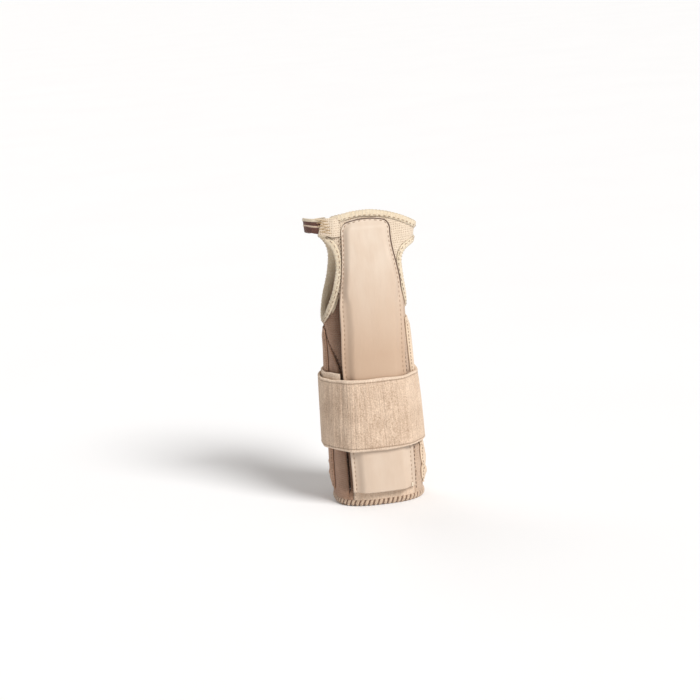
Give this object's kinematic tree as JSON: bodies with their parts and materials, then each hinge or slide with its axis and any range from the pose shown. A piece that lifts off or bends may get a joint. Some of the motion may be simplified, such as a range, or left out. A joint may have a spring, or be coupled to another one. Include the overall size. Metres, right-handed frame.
{
  "type": "wrist splint",
  "caption": "Slip-on wrist splint that holds the wrist cocked up, with a palmar stay pocket, thumb opening and wide hook-and-loop forearm strap.",
  "frame": {"origin": "centre of the bounding box on the plane of the forearm hem, on which the splint stands", "axes": "+Z along the forearm toward the fingers, -Y out of the palm, +Y out of the back of the hand, -X toward the thumb, +X toward the little finger"},
  "size_m": [0.0808, 0.0666, 0.2126],
  "materials": {
    "laminate": "brushed beige laminate with a fine grain",
    "elastic": "ribbed taupe elastic",
    "binding": "cream folded binding tape",
    "webbing": "dark taupe ribbed web",
    "pocket": "smooth brushed leatherette",
    "strap_loop": "fuzzy unbroken loop elastic",
    "hook": "moulded hook tape",
    "foam": "open cell foam",
    "stay_metal": "brushed",
    "spring_metal": "blued spring steel, satin",
    "tip_vinyl": "dipped vinyl"
  },
  "bodies": {
    "brace": {"palm_panel": "laminate", "dorsal_panel": "elastic", "radial_gusset": "elastic", "radial_side_panel": "elastic", "ulnar_gusset": "elastic", "ulnar_band": "laminate", "web_strap": "webbing", "palm_pad": "foam", "pocket_cover": "pocket", "palm_edge_binding": "binding", "dorsal_edge_binding": "binding", "thumb_opening_binding": "binding", "ulnar_opening_binding": "binding", "hem_binding": "binding", "radial_stay_casing": "elastic", "ulnar_stay_casing": "elastic", "radial_side_stay": "spring_metal", "ulnar_side_stay": "spring_metal", "side_stay_tips": "tip_vinyl", "strap_fixed_run": "strap_loop"},
    "strap_front": {"strap_front_run": "strap_loop"},
    "strap_radial": {"strap_radial_run": "strap_loop"},
    "strap_end": {"strap_tab_run": "strap_loop", "hook_tab": "hook", "strap_end_binding": "binding"},
    "stay": {"palmar_stay": "stay_metal"}
  },
  "joints": [
    {"name": "strap_front_hinge", "type": "hinge", "parent": "brace", "child": "strap_front", "pos_m": [0.02838, -0.01993, 0.069], "axis": [-0.05, -0.0124, 0.9987], "range_deg": [0, 72]},
    {"name": "strap_radial_hinge", "type": "hinge", "parent": "strap_front", "child": "strap_radial", "pos_m": [-0.03212, -0.02011, 0.069], "axis": [0.0184, -0.0124, 0.9998], "range_deg": [0, 90]},
    {"name": "strap_end_hinge", "type": "hinge", "parent": "strap_radial", "child": "strap_end", "pos_m": [-0.02648, 0.02438, 0.069], "axis": [0.0167, -0.0671, 0.9976], "range_deg": [0, 90]},
    {"name": "stay_slide", "type": "hinge", "parent": "brace", "child": "stay", "pos_m": [0, 0.6739, 0.06], "axis": [1, 0, 0], "range_deg": [0, 15.5]}
  ],
  "couplings": [
    {"joint": "strap_radial_hinge", "follows": "strap_front_hinge", "ratio": 1.25},
    {"joint": "strap_end_hinge", "follows": "strap_front_hinge", "ratio": 1.25}
  ]
}
